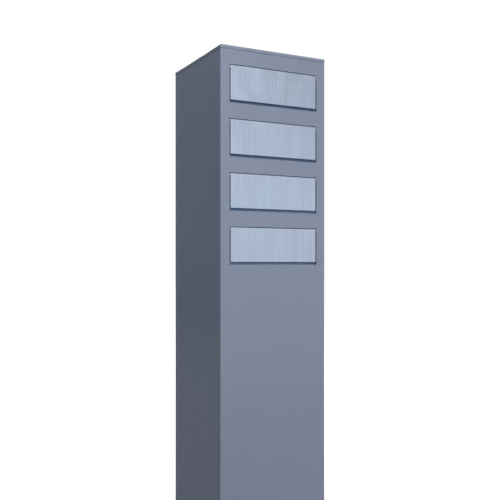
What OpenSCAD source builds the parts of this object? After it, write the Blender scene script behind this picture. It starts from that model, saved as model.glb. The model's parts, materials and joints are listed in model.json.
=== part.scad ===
// Free-standing cluster mailbox column: four letter flaps stacked on the front,
// four locked collection doors on the rear, and a hollow pedestal below them.
// Millimetres. X runs to the right seen from the front, Y to the rear, Z up.
// The origin is the centre of the base plate's underside.

/* [Column] */
// Width of the column over its side panels
body_w = 400; // [340:1:480]
// Depth of the column from its front panel to its rear face
body_d = 400; // [330:1:480]
// Height of the column over its lid
body_h = 1700; // [1420:1:2000]
// Thickness of the painted sheet
sheet_t = 1.5; // [1.25:0.05:1.8]
// Thickness of the base plate
base_t = 5; // [4:0.5:8]
// Distance between the anchor holes, both ways
anchor_pitch = 300; // [240:1:300]
// Radius of an anchor hole
anchor_r = 6.5; // [5:0.25:8]

/* [Lid] */
// Depth of the lid's skirt
lid_skirt = 11; // [9:0.5:14]
// Shadow gap between the lid's skirt and the walls
lid_gap = 1; // [0.5:0.25:2]
// How far the lid stands out past the walls
lid_overhang = 0.6; // [0.4:0.1:1]
// Radius of the lid's weld studs
lid_stud_r = 3; // [2.5:0.5:4]

/* [Letter slots] */
// Distance from the lid's top to the first window
window_drop = 60; // [54:1:75]
// Height of a window in the front panel
window_h = 126; // [118:1:136]
// Width of the front panel left beside a window
window_margin = 33.5; // [33.5:0.5:40]
// Distance from one letter slot to the next
slot_pitch = 177; // [168:1:200]
// Corner radius of a window
window_r = 2.5; // [1.5:0.5:4]
// Depth of the recess behind the front face
recess_d = 14; // [13:0.5:20]
// Height of the letter aperture
slot_h = 35; // [30:1:38]
// Height of the letter aperture above the window's lower edge
slot_lift = 50; // [42:1:52]
// Solid strip left at each end of the letter aperture
slot_end = 4; // [3:0.5:10]

/* [Flaps] */
// Thickness of the stainless sheet
flap_t = 1; // [0.8:0.1:1.2]
// Gap at each end of a flap
flap_side_gap = 3; // [2:0.25:4]
// Gap above a flap
flap_top_gap = 2.5; // [2.5:0.25:4]
// Finger gap below a flap
finger_gap = 9.5; // [8:0.5:14]
// Depth of a flap's folded edges
flap_return = 8; // [7:0.25:8.5]
// Radius of a flap's hinge rod
rod_r = 2; // [1.5:0.1:2.5]

/* [Doors] */
// Gap around a door
door_gap = 3; // [2.5:0.25:4]
// Depth of a door's folded edges
door_return = 14; // [12:0.5:14.5]
// Outer radius of the door's rolled hinge edge
door_roll_r = 7; // [6.5:0.25:7.5]
// Radius of a door's hinge pins
pin_r = 2.5; // [2:0.1:2.75]
// Distance from the door's free edge to its lock
lock_inset = 30; // [29:0.5:34]
// Reach of the lock's cam from the lock's axis
cam_reach = 28; // [24:0.5:30]

/* [Hidden] */
$fn = 48;
eps = 0.01;
box_count = 4;

// Clearances
run_gap = 0.08;
seat_gap = 0.05;
pad_gap = 0.3;

// Walls
half_w = body_w / 2;
half_d = body_d / 2;
front_y = -half_d;
wall_top = body_h - lid_skirt - lid_gap;
front_return = 20;
rear_return = 18;
base_inset = 1;

// Windows, recesses and flaps
window_w = body_w - 2 * window_margin;
recess_head = 1.5;
insert_flange = 10;
recess_y = front_y + recess_d;
slot_w = window_w - 2 * slot_end;
flap_w = window_w - 2 * flap_side_gap;
flap_h = window_h - flap_top_gap - finger_gap;
flap_axis_back = 6;
flap_axis_drop = 5;
ear_r = flap_axis_drop;
rod_y = front_y + flap_axis_back;
rod_lift = window_h - flap_top_gap - flap_axis_drop;
rod_head = 1.5;
rod_head_r = flap_axis_back - 2 * sheet_t - 0.2;
bumper_r = 3;
bumper_x = 0.36 * flap_w;
guard_tilt = 42;
guard_run = 46;
guard_lift = slot_lift + slot_h + 4;
guard_flange = 12;

// Rear frame and doors
post_x = half_w - rear_return;
stop_w = 17;
stop_y = half_d - 20;
door_side_gap = 2;
door_x = post_x - door_side_gap;
door_h = slot_pitch - door_gap;
hinge_x = door_x - door_roll_r;
hinge_y = half_d - door_roll_r;
lug_t = 2;
lug_r = 5;
pin_reach = 4.5;
land_h = slot_pitch - window_h;
floor_lip = 10;

// Locks
lock_x = -door_x + lock_inset;
lock_head_r = 11;
lock_head_t = 2;
barrel_r = 9.4;
barrel_end = stop_y + 2.5;
plug_r = 6;
tenon_r = 3.5;
cam_w = 14;
cam_t = 2;
cam_gap = 0.5;
cam_y = stop_y - cam_gap;
cam_screw_r = 2;
nut_t = 4;
nut_r = 12.7;

// Pedestal cover
cover_foot = 2;
cover_screw_z = 40;
standoff_r = 5;
standoff_x = post_x - 10.5;
cover_screw_r = 2.5;

// Heights of one slot's window edge, its floor and its door's lower boundary
function window_z(n) = body_h - window_drop - window_h - (n - 1) * slot_pitch;
function floor_z(n) = window_z(n) - land_h / 2;
function door_line(n) = floor_z(n) - sheet_t / 2;
cover_top = door_line(box_count) - door_gap / 2;
cover_h = cover_top - base_t - cover_foot;

// Rear header above the top door, and the ceiling that closes the top box
header_z = door_line(0) + door_gap / 2;
ceiling_lift = 9.75;
ceiling_z = header_z + ceiling_lift;

PER_BOX = [
    "compartment_floor", "slot_insert", "letter_guard", "flap",
    "door", "lock_body", "lock_nut", "lock_plug", "lock_cam", "cam_screw"
];

// ---- Shared shapes ----

// A block between two opposite corners
module block(low, high) {
    translate(low) cube(high - low);
}

// A plate in the XZ plane with rounded corners, centred on x = 0, its lower edge at z = 0
module rounded_plate(w, h, r, t) {
    rotate([90, 0, 0])
        translate([0, 0, -t])
            linear_extrude(t)
                union() {
                    translate([-w / 2 + r, 0]) square([w - 2 * r, h]);
                    translate([-w / 2, r]) square([w, h - 2 * r]);
                    for (x = [-w / 2 + r, w / 2 - r])
                        for (z = [r, h - r])
                            translate([x, z]) circle(r);
                }
}

// A cylinder along Y from y0 to y1
module y_rod(x, z, r, y0, y1) {
    translate([x, y1, z])
        rotate([90, 0, 0])
            cylinder(r = r, h = y1 - y0);
}

// A cylinder along X, centred on x = 0
module x_rod(y, z, r, length) {
    translate([-length / 2, y, z])
        rotate([0, 90, 0])
            cylinder(r = r, h = length);
}

module mirror_x() {
    children();
    mirror([1, 0, 0]) children();
}

module at_each_lid_stud() {
    for (x = [-half_w + 50, half_w - 50])
        for (y = [-half_d + 50, half_d - 50])
            translate([x, y, 0]) children();
}

// ---- Column ----

module base_plate() {
    color("slategray")
        difference() {
            block([-half_w + base_inset, -half_d + base_inset, 0],
                  [half_w - base_inset, half_d - base_inset, base_t]);
            for (x = [-anchor_pitch / 2, anchor_pitch / 2])
                for (y = [-anchor_pitch / 2, anchor_pitch / 2])
                    translate([x, y, -1])
                        cylinder(r = anchor_r, h = base_t + 2);
        }
}

module front_panel() {
    color("lightslategray")
        difference() {
            block([-half_w, front_y, base_t], [half_w, front_y + sheet_t, wall_top]);
            for (n = [1:box_count])
                translate([0, front_y - 1, window_z(n)])
                    rounded_plate(window_w, window_h, window_r, sheet_t + 2);
        }
}

// Side panel with its folded front and rear edges, on the +X side
module side_panel() {
    union() {
        block([half_w - sheet_t, front_y + sheet_t, base_t], [half_w, half_d, wall_top]);
        block([half_w - front_return, front_y + sheet_t, base_t],
              [half_w, front_y + 2 * sheet_t, ceiling_z]);
        block([post_x, half_d - sheet_t, base_t], [half_w, half_d, wall_top]);
    }
}

module left_side_panel() {
    color("slategray") mirror([1, 0, 0]) side_panel();
}

module right_side_panel() {
    color("slategray") side_panel();
}

// Folded post on the +X side: a flange behind the side panel's edge, a web and a door stop
module rear_post() {
    union() {
        block([post_x, half_d - 2 * sheet_t, base_t],
              [half_w - sheet_t - 1, half_d - sheet_t, ceiling_z]);
        block([post_x, stop_y, base_t],
              [post_x + sheet_t, half_d - sheet_t, ceiling_z]);
        block([post_x - stop_w, stop_y, base_t],
              [post_x + sheet_t, stop_y + sheet_t, ceiling_z]);
    }
}

// Ear between two doors that carries a hinge pin
module hinge_lug() {
    translate([0, 0, -lug_t / 2])
        difference() {
            union() {
                translate([hinge_x, hinge_y - lug_r, 0])
                    cube([post_x - hinge_x, 2 * lug_r, lug_t]);
                translate([hinge_x, hinge_y, 0])
                    cylinder(r = lug_r, h = lug_t);
            }
            translate([hinge_x, hinge_y, -1])
                cylinder(r = pin_r, h = lug_t + 2);
        }
}

module hinge_post() {
    color("slategray")
        union() {
            rear_post();
            for (n = [0:box_count])
                translate([0, 0, door_line(n)]) hinge_lug();
        }
}

module strike_post() {
    color("slategray") mirror([1, 0, 0]) rear_post();
}

module rear_header() {
    color("slategray")
        union() {
            block([-post_x, half_d - sheet_t, header_z], [post_x, half_d, wall_top]);
            block([-post_x, stop_y + sheet_t, header_z],
                  [post_x, half_d - sheet_t / 2, header_z + sheet_t]);
        }
}

// Upturned pan that closes the top compartment and carries the lid
module ceiling_pan() {
    x = half_w - sheet_t;
    y = half_d - sheet_t;
    color("slategray")
        difference() {
            block([-x, -y, ceiling_z], [x, y, body_h - sheet_t]);
            block([-x + sheet_t, -y + sheet_t, ceiling_z + sheet_t],
                  [x - sheet_t, y - sheet_t, body_h]);
            at_each_lid_stud()
                translate([0, 0, ceiling_z - 1])
                    cylinder(r = lid_stud_r + 0.3, h = sheet_t + 2);
        }
}

module top_lid() {
    x = half_w + lid_overhang;
    y = half_d + lid_overhang;
    r = 2;
    color("lightslategray")
        union() {
            difference() {
                translate([0, 0, body_h - lid_skirt])
                    linear_extrude(lid_skirt)
                        union() {
                            square([2 * x - 2 * r, 2 * y], center = true);
                            square([2 * x, 2 * y - 2 * r], center = true);
                            for (cx = [-x + r, x - r])
                                for (cy = [-y + r, y - r])
                                    translate([cx, cy]) circle(r);
                        }
                block([-x + sheet_t, -y + sheet_t, body_h - lid_skirt - 1],
                      [x - sheet_t, y - sheet_t, body_h - sheet_t]);
            }
            at_each_lid_stud()
                translate([0, 0, ceiling_z - 8])
                    cylinder(r = lid_stud_r, h = body_h - sheet_t / 2 - ceiling_z + 8);
        }
}

module lid_nuts() {
    color("silver")
        at_each_lid_stud()
            translate([0, 0, ceiling_z - 5])
                difference() {
                    cylinder(r = lid_stud_r * 1.92, h = 5, $fn = 6);
                    translate([0, 0, -1])
                        cylinder(r = lid_stud_r, h = 7);
                }
}

// ---- Pedestal cover ----

module at_each_cover_screw() {
    for (x = [-standoff_x, standoff_x])
        for (z = [base_t + cover_foot + cover_screw_z, cover_top - cover_screw_z])
            translate([x, 0, z]) children();
}

module pedestal_cover() {
    bottom = base_t + cover_foot;
    color("slategray")
        difference() {
            block([-door_x, half_d - door_return, bottom], [door_x, half_d, cover_top]);
            block([-door_x + sheet_t, half_d - door_return - 1, bottom + sheet_t],
                  [door_x - sheet_t, half_d - sheet_t, cover_top - sheet_t]);
            at_each_cover_screw()
                y_rod(0, 0, cover_screw_r + 0.25, half_d - sheet_t - 1, half_d + 1);
        }
}

// Threaded bushes welded to the door stops
module cover_standoffs() {
    color("silver")
        at_each_cover_screw()
            difference() {
                y_rod(0, 0, standoff_r, stop_y + sheet_t, half_d - sheet_t);
                y_rod(0, 0, cover_screw_r, stop_y + sheet_t + 2, half_d);
            }
}

module cover_screws() {
    color("silver")
        at_each_cover_screw()
            difference() {
                union() {
                    y_rod(0, 0, cover_screw_r, half_d - 12, half_d + 1);
                    translate([0, half_d, 0])
                        rotate([-90, 0, 0])
                            cylinder(r1 = 4.75, r2 = 3.4, h = 2);
                }
                translate([0, half_d + 2.5, 0])
                    rotate([90, 0, 0])
                        cylinder(r = 1.75, h = 2, $fn = 6);
            }
}

// ---- Compartments ----

// Floor with its sides and rear turned down
module compartment_floor(n) {
    x = half_w - sheet_t;
    y0 = front_y + 2 * sheet_t;
    color("gainsboro")
        difference() {
            block([-x, y0, floor_z(n) - sheet_t - floor_lip], [x, stop_y, floor_z(n)]);
            block([-x + sheet_t, y0 - 1, floor_z(n) - sheet_t - floor_lip - 1],
                  [x - sheet_t, stop_y - sheet_t, floor_z(n) - sheet_t]);
        }
}

// Recessed tray behind a window: a flange, four walls, and a back with the letter aperture
module slot_insert(n) {
    inner_h = window_h + recess_head;
    tray_w = window_w + 2 * sheet_t;
    tray_h = inner_h + 2 * sheet_t;
    y0 = front_y + sheet_t;
    color("darkslategray")
        translate([0, 0, window_z(n)])
            difference() {
                union() {
                    block([-tray_w / 2 - insert_flange, y0, -sheet_t - insert_flange],
                          [tray_w / 2 + insert_flange, y0 + sheet_t,
                           tray_h - sheet_t + insert_flange]);
                    block([-tray_w / 2, y0, -sheet_t],
                          [tray_w / 2, recess_y + sheet_t, tray_h - sheet_t]);
                }
                block([-window_w / 2, y0 - 1, 0], [window_w / 2, recess_y, inner_h]);
                translate([0, recess_y - 1, slot_lift])
                    rounded_plate(slot_w, slot_h, 3, sheet_t + 2);
                x_rod(rod_y, rod_lift, rod_r + seat_gap, tray_w + 4);
            }
}

// Tilted plate behind the aperture that keeps hands away from the letters
module letter_guard(n) {
    y0 = recess_y + sheet_t;
    color("darkslategray")
        translate([0, y0, window_z(n) + guard_lift])
            intersection() {
                union() {
                    block([-slot_w / 2, 0, 0], [slot_w / 2, sheet_t, guard_flange]);
                    rotate([-guard_tilt, 0, 0])
                        block([-slot_w / 2, -sheet_t, 0], [slot_w / 2, guard_run, sheet_t]);
                }
                block([-slot_w, 0, -guard_run], [slot_w, guard_run, guard_flange]);
            }
}

// ---- Flaps ----

module at_each_window() {
    for (n = [1:box_count])
        translate([0, 0, window_z(n)]) children();
}

module flap(n) {
    edge_y = front_y + flap_return;
    color("lightsteelblue")
        translate([0, 0, window_z(n) + finger_gap])
            difference() {
                union() {
                    translate([0, front_y, 0])
                        rounded_plate(flap_w, flap_h, 1.5, flap_t);
                    mirror_x()
                        block([flap_w / 2 - flap_t, front_y + flap_t / 2, 1.5],
                              [flap_w / 2, edge_y, flap_h - 1.5]);
                    mirror_x()
                        translate([flap_w / 2 - flap_t, rod_y, flap_h - flap_axis_drop])
                            rotate([0, 90, 0])
                                cylinder(r = ear_r, h = flap_t);
                    block([-flap_w / 2 + 1.5, front_y + flap_t / 2, 0],
                          [flap_w / 2 - 1.5, edge_y, flap_t]);
                    block([-flap_w / 2 + 1.5, front_y + flap_t / 2, flap_h - flap_t],
                          [flap_w / 2 - 1.5, rod_y - 1, flap_h]);
                }
                x_rod(rod_y, flap_h - flap_axis_drop, rod_r + run_gap, flap_w + 4);
            }
}

// Hinge rods with a round head at each end, outside the trays
module flap_hinge_rods() {
    length = window_w + 2 * sheet_t;
    color("silver")
        at_each_window()
            union() {
                x_rod(rod_y, rod_lift, rod_r, length + 2 * rod_head);
                mirror_x()
                    translate([length / 2, rod_y, rod_lift])
                        rotate([0, 90, 0])
                            cylinder(r = rod_head_r, h = rod_head);
            }
}

// Plastic washers that centre each flap between the walls of its recess
module flap_spacers() {
    color("white")
        at_each_window()
            mirror_x()
                translate([flap_w / 2 + pad_gap, rod_y, rod_lift])
                    rotate([0, 90, 0])
                        difference() {
                            cylinder(r = rod_r + 1.5, h = flap_side_gap - pad_gap);
                            translate([0, 0, -1])
                                cylinder(r = rod_r, h = flap_side_gap + 2);
                        }
}

module flap_bumpers() {
    color("dimgray")
        at_each_window()
            for (x = [-bumper_x, bumper_x])
                y_rod(x, finger_gap + bumper_r - 0.2, bumper_r,
                      front_y + flap_return + pad_gap, recess_y);
}

// ---- Doors ----

module door(n) {
    color("slategray")
        translate([0, 0, door_line(n) + door_gap / 2])
            difference() {
                union() {
                    block([-door_x, half_d - door_return, 0], [hinge_x, half_d, door_h]);
                    block([hinge_x - eps, half_d - door_return, 0],
                          [door_x, hinge_y, door_h]);
                    translate([hinge_x, hinge_y, 0])
                        cylinder(r = door_roll_r, h = door_h);
                }
                block([-door_x + sheet_t, half_d - door_return - 1, sheet_t],
                      [hinge_x, half_d - sheet_t, door_h - sheet_t]);
                block([hinge_x - eps, half_d - door_return - 1, sheet_t],
                      [door_x - sheet_t, hinge_y, door_h - sheet_t]);
                translate([hinge_x, hinge_y, sheet_t])
                    cylinder(r = door_roll_r - sheet_t, h = door_h - 2 * sheet_t);
                translate([hinge_x, hinge_y, -1])
                    cylinder(r = pin_r + run_gap, h = door_h + 2);
                y_rod(lock_x, door_h / 2, barrel_r + 0.1, half_d - sheet_t - 1, half_d + 1);
            }
}

// Pins through the lugs; the end ones stop flush with the outer lugs
module door_hinge_pins() {
    color("silver")
        for (n = [0:box_count])
            translate([hinge_x, hinge_y, door_line(n)])
                union() {
                    up = n == 0 ? lug_t / 2 : pin_reach;
                    down = n == box_count ? lug_t / 2 : pin_reach;
                    translate([0, 0, -down]) cylinder(r = pin_r, h = up + down);
                }
}

module door_bumpers() {
    color("dimgray")
        for (n = [1:box_count])
            for (z = [0.2, 0.8] * door_h)
                y_rod(-door_x + 4, door_line(n) + door_gap / 2 + z, 4,
                      stop_y + sheet_t, half_d - door_return - pad_gap);
}

// ---- Locks ----

module at_lock(n) {
    translate([lock_x, 0, door_line(n) + door_gap / 2 + door_h / 2]) children();
}

module lock_body(n) {
    color("silver")
        at_lock(n)
            difference() {
                union() {
                    translate([0, half_d, 0])
                        rotate([-90, 0, 0])
                            cylinder(r1 = lock_head_r, r2 = lock_head_r - 1, h = lock_head_t);
                    y_rod(0, 0, barrel_r, barrel_end, half_d + 1);
                }
                y_rod(0, 0, plug_r + run_gap, barrel_end - 1, half_d + lock_head_t + 1);
            }
}

module lock_nut(n) {
    color("silver")
        at_lock(n)
            difference() {
                translate([0, half_d - sheet_t, 0])
                    rotate([90, 0, 0])
                        cylinder(r = nut_r, h = nut_t, $fn = 6);
                y_rod(0, 0, barrel_r, half_d - sheet_t - nut_t - 1, half_d);
            }
}

module lock_plug(n) {
    color("gold")
        at_lock(n)
            difference() {
                union() {
                    y_rod(0, 0, plug_r, cam_y, half_d + lock_head_t - 0.3);
                    y_rod(0, 0, tenon_r, cam_y - cam_t, cam_y + 1);
                }
                block([-0.7, half_d + lock_head_t - 4.3, -4],
                      [0.7, half_d + lock_head_t, 4]);
                y_rod(0, 0, cam_screw_r, cam_y - cam_t - 1, cam_y + 6);
            }
}

// Cam hanging down, free of the strike post; a quarter turn locks it behind the door stop
module lock_cam(n) {
    color("silver")
        at_lock(n)
            difference() {
                union() {
                    block([-cam_w / 2, cam_y - cam_t, -cam_reach + cam_w / 2],
                          [cam_w / 2, cam_y, 0]);
                    y_rod(0, -cam_reach + cam_w / 2, cam_w / 2, cam_y - cam_t, cam_y);
                    y_rod(0, 0, cam_w / 2, cam_y - cam_t, cam_y);
                }
                y_rod(0, 0, tenon_r, cam_y - cam_t - 1, cam_y + 1);
            }
}

module cam_screw(n) {
    color("silver")
        at_lock(n)
            union() {
                translate([0, cam_y - cam_t, 0])
                    rotate([90, 0, 0])
                        cylinder(r = 5, h = 2.5, $fn = 6);
                y_rod(0, 0, cam_screw_r, cam_y - cam_t - 1, cam_y + 5);
            }
}

base_plate();
front_panel();
left_side_panel();
right_side_panel();
hinge_post();
strike_post();
rear_header();
ceiling_pan();
top_lid();
lid_nuts();
pedestal_cover();
cover_standoffs();
cover_screws();
flap_hinge_rods();
flap_spacers();
flap_bumpers();
door_bumpers();
door_hinge_pins();
for (n = [1:box_count]) {
    compartment_floor(n);
    slot_insert(n);
    letter_guard(n);
    flap(n);
    door(n);
    lock_body(n);
    lock_nut(n);
    lock_plug(n);
    lock_cam(n);
    cam_screw(n);
}
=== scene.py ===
"""Looks of the cluster mailbox column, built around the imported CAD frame.

The column stands on the floor at z = 0, its letter flaps face -Y and its
collection doors face +Y. Every length is in metres.
"""

import json
import logging
import math
from collections.abc import Callable
from dataclasses import dataclass, field
from enum import Enum

import bmesh
import bpy
from mathutils import Matrix, Vector

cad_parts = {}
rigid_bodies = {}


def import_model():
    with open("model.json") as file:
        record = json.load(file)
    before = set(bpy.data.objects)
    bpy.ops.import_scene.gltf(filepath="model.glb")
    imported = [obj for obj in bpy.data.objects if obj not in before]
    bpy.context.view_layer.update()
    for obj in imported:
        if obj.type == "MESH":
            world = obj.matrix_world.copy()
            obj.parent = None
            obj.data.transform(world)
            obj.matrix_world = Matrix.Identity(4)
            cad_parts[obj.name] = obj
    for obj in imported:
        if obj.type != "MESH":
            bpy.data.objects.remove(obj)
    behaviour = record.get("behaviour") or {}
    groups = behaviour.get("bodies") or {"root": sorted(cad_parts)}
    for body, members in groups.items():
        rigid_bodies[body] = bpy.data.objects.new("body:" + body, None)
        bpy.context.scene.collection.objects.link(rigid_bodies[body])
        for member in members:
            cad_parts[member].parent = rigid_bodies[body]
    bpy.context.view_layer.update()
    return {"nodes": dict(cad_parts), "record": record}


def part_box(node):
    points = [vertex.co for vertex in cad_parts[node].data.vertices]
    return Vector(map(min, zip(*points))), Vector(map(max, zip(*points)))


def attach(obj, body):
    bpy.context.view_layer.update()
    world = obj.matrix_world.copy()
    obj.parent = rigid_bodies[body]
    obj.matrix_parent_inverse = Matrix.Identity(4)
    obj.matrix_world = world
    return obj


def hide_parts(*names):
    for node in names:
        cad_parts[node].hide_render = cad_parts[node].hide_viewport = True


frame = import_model()

log = logging.getLogger("mailbox")

MM = 0.001
BOXES = (1, 2, 3, 4)
COLUMN = "column"

SHEET = 1.5 * MM
SHEET_BEND = 2.0 * MM
SHEET_LIP = 0.3 * MM

Colour = tuple[float, float, float, float]
Triple = tuple[float, float, float]
Piece = bpy.types.Object
Material = bpy.types.Material
Tree = bpy.types.NodeTree
Socket = bpy.types.NodeSocket


class Slot(Enum):
    """Material slots of the record."""

    PAINT = "painted_steel"
    RECESS_PAINT = "recess_painted_steel"
    STAINLESS = "brushed_stainless"
    GALVANISED = "galvanised_sheet"
    ZINC = "zinc_steel"
    FASTENER = "stainless_fastener"
    NICKEL = "nickel_plated"
    NYLON = "white_nylon"
    RUBBER = "black_rubber"


class Grain(Enum):
    """Direction that a brushed grain runs in, as noise scales along X, Y and Z."""

    UPRIGHT = (1.0, 1.0, 0.012)


# ---------------------------------------------------------------- node groups


def new_group(name: str, inputs: dict[str, tuple[str, object]],
              outputs: dict[str, str]) -> Tree:
    """Make an empty shader node group with typed sockets.

    Args:
        name: Name of the group.
        inputs: Socket name to socket type and default value.
        outputs: Socket name to socket type.

    Returns:
        The node tree, holding its two ends named "in" and "out".
    """
    tree = bpy.data.node_groups.new(name, "ShaderNodeTree")
    for label, (kind, default) in inputs.items():
        socket = tree.interface.new_socket(label, in_out="INPUT", socket_type=kind)
        socket.default_value = default
    for label, kind in outputs.items():
        tree.interface.new_socket(label, in_out="OUTPUT", socket_type=kind)
    tree.nodes.new("NodeGroupInput").name = "in"
    tree.nodes.new("NodeGroupOutput").name = "out"
    return tree


@dataclass
class Wiring:
    """Adds nodes to a tree and joins them in one line each."""

    tree: Tree

    def add(self, kind: str, settings: dict[str, object] | None = None,
            **inputs: object) -> bpy.types.Node:
        """Add a node.

        Args:
            kind: The node's type name after "ShaderNode".
            settings: Attributes to set on the node.
            inputs: Values or sockets for inputs, with spaces written as "_"
                and a number such as _0 for an unnamed input.

        Returns:
            The new node.
        """
        node = self.tree.nodes.new("ShaderNode" + kind)
        for key, value in (settings or {}).items():
            setattr(node, key, value)
        for key, value in inputs.items():
            name = key.replace("_", " ").strip()
            socket = node.inputs[int(name)] if name.isdigit() else node.inputs[name]
            self.feed(socket, value)
        return node

    def feed(self, socket: Socket, value: object) -> None:
        """Link a socket to an input, or set the input's value."""
        if isinstance(value, Socket):
            self.tree.links.new(value, socket)
        else:
            socket.default_value = value

    def given(self, label: str) -> Socket:
        """Return an input of the group that this tree is."""
        return self.tree.nodes["in"].outputs[label]

    def give(self, label: str, value: Socket) -> None:
        """Link a socket to an output of the group that this tree is."""
        self.tree.links.new(value, self.tree.nodes["out"].inputs[label])

    def math(self, operation: str, a: object, b: object = 0.0) -> Socket:
        """Return the result of a Math node."""
        return self.add("Math", {"operation": operation}, _0=a, _1=b).outputs[0]

    def mix(self, factor: object, a: object, b: object) -> Socket:
        """Return a colour mixed from a to b by the factor."""
        node = self.add("Mix", {"data_type": "RGBA"})
        self.feed(node.inputs["Factor"], factor)
        self.feed(node.inputs[6], a)
        self.feed(node.inputs[7], b)
        return node.outputs[2]

    def ramp(self, value: object, low: object, high: object,
             to_low: float = 0.0, to_high: float = 1.0) -> Socket:
        """Return the value mapped from one range to another, clamped."""
        return self.add("MapRange", None, Value=value, From_Min=low, From_Max=high,
                        To_Min=to_low, To_Max=to_high).outputs[0]

    def coords(self) -> Socket:
        """Return the Object coordinates."""
        return self.add("TexCoord").outputs["Object"]

    def noise(self, vector: object, scale: object, detail: float = 2.0,
              roughness: float = 0.5) -> Socket:
        """Return the value of a noise texture."""
        return self.add("TexNoise", None, Vector=vector, Scale=scale, Detail=detail,
                        Roughness=roughness).outputs[0]

    def stretched(self, scale: Triple) -> Socket:
        """Return Object coordinates multiplied along each axis."""
        return self.add("Mapping", None, Vector=self.coords(), Scale=scale).outputs[0]

    def group(self, tree: Tree, **inputs: object) -> bpy.types.Node:
        """Place a node group and feed its inputs."""
        node = self.tree.nodes.new("ShaderNodeGroup")
        node.node_tree = tree
        for key, value in inputs.items():
            self.feed(node.inputs[key.replace("_", " ")], value)
        return node


def orange_peel_group() -> Tree:
    """Height of sprayed powder coat: a soft ripple under fine grit."""
    tree = new_group("orange_peel",
                     {"Ripple Scale": ("NodeSocketFloat", 260.0),
                      "Grit Scale": ("NodeSocketFloat", 1500.0),
                      "Grit": ("NodeSocketFloat", 0.4)},
                     {"Height": "NodeSocketFloat"})
    w = Wiring(tree)
    where = w.coords()
    ripple = w.noise(where, w.given("Ripple Scale"), 1.0)
    grit = w.noise(where, w.given("Grit Scale"), 2.0, 0.6)
    w.give("Height", w.math("ADD", ripple, w.math("MULTIPLY", grit, w.given("Grit"))))
    return tree


def metal_flake_group() -> Tree:
    """Mask of tiny bright flakes scattered through a metallic paint."""
    tree = new_group("metal_flake",
                     {"Scale": ("NodeSocketFloat", 2600.0),
                      "Share": ("NodeSocketFloat", 0.3)},
                     {"Mask": "NodeSocketFloat"})
    w = Wiring(tree)
    cell = w.add("TexVoronoi", {"feature": "F1"}, Vector=w.coords(),
                 Scale=w.given("Scale"))
    bright = w.add("SeparateColor", None, Color=cell.outputs["Color"]).outputs[0]
    edge = w.math("SUBTRACT", 1.0, w.given("Share"))
    w.give("Mask", w.ramp(bright, edge, 1.0))
    return tree


def edge_wear_group() -> Tree:
    """Mask of the thin line along sharp edges where a finish rubs through."""
    tree = new_group("edge_wear",
                     {"Strength": ("NodeSocketFloat", 1.0),
                      "Break Up": ("NodeSocketFloat", 90.0)},
                     {"Mask": "NodeSocketFloat"})
    w = Wiring(tree)
    rounded = w.add("Bevel", {"samples": 4}, Radius=0.9 * MM)
    flat = w.add("NewGeometry").outputs["Normal"]
    dot = w.add("VectorMath", {"operation": "DOT_PRODUCT"}, _0=rounded.outputs[0],
                _1=flat).outputs["Value"]
    edge = w.ramp(w.math("SUBTRACT", 1.0, dot), 0.01, 0.12)
    patch = w.ramp(w.noise(w.coords(), w.given("Break Up"), 3.0), 0.42, 0.62)
    w.give("Mask", w.math("MULTIPLY", w.math("MULTIPLY", edge, patch),
                          w.given("Strength")))
    return tree


def outdoor_film_group() -> Tree:
    """Mask of street dust: on ledges, splashed near the ground, and in faint runs."""
    tree = new_group("outdoor_film",
                     {"Amount": ("NodeSocketFloat", 0.3),
                      "Splash Height": ("NodeSocketFloat", 0.28)},
                     {"Mask": "NodeSocketFloat"})
    w = Wiring(tree)
    up = w.add("SeparateXYZ", None,
               Vector=w.add("NewGeometry").outputs["Normal"]).outputs[2]
    ledge = w.math("MULTIPLY", w.ramp(up, 0.6, 1.0), 0.55)
    height = w.add("SeparateXYZ", None, Vector=w.coords()).outputs[2]
    near_ground = w.ramp(height, 0.0, w.given("Splash Height"), 0.8, 0.0)
    runs = w.noise(w.stretched((34.0, 34.0, 1.6)), 1.0, 4.0, 0.6)
    runs = w.math("MULTIPLY", w.ramp(runs, 0.5, 0.8), 0.35)
    clouds = w.ramp(w.noise(w.coords(), 6.0, 5.0, 0.62), 0.3, 0.75)
    film = w.math("MAXIMUM", w.math("MAXIMUM", ledge, near_ground), runs)
    w.give("Mask", w.math("MULTIPLY", w.math("MULTIPLY", film, clouds),
                          w.given("Amount")))
    return tree


def brushed_grain_group() -> Tree:
    """Fine and coarse brush lines, from coordinates stretched along the grain."""
    tree = new_group("brushed_grain",
                     {"Vector": ("NodeSocketVector", (0.0, 0.0, 0.0)),
                      "Scale": ("NodeSocketFloat", 1800.0)},
                     {"Lines": "NodeSocketFloat", "Bands": "NodeSocketFloat"})
    w = Wiring(tree)
    where, scale = w.given("Vector"), w.given("Scale")
    w.give("Lines", w.noise(where, scale, 3.0, 0.7))
    w.give("Bands", w.noise(where, w.math("MULTIPLY", scale, 0.12), 2.0, 0.5))
    return tree


def smudge_group() -> Tree:
    """Mask of hand marks and wiped patches on a handled surface."""
    tree = new_group("smudges", {"Scale": ("NodeSocketFloat", 14.0)},
                     {"Mask": "NodeSocketFloat"})
    w = Wiring(tree)
    cloud = w.noise(w.coords(), w.given("Scale"), 5.0, 0.6)
    w.give("Mask", w.ramp(cloud, 0.46, 0.72))
    return tree


@dataclass
class Effects:
    """The shared node groups, each built once."""

    orange_peel: Tree = field(default_factory=orange_peel_group)
    metal_flake: Tree = field(default_factory=metal_flake_group)
    edge_wear: Tree = field(default_factory=edge_wear_group)
    outdoor_film: Tree = field(default_factory=outdoor_film_group)
    brushed_grain: Tree = field(default_factory=brushed_grain_group)
    smudges: Tree = field(default_factory=smudge_group)


# ------------------------------------------------------------------- finishes


def blank_material(name: str) -> tuple[Material, Wiring, bpy.types.Node]:
    """Make a material and return it with its wiring and its Principled shader."""
    material = bpy.data.materials.new(name)
    material.use_nodes = True
    shader = material.node_tree.nodes["Principled BSDF"]
    return material, Wiring(material.node_tree), shader


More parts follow.
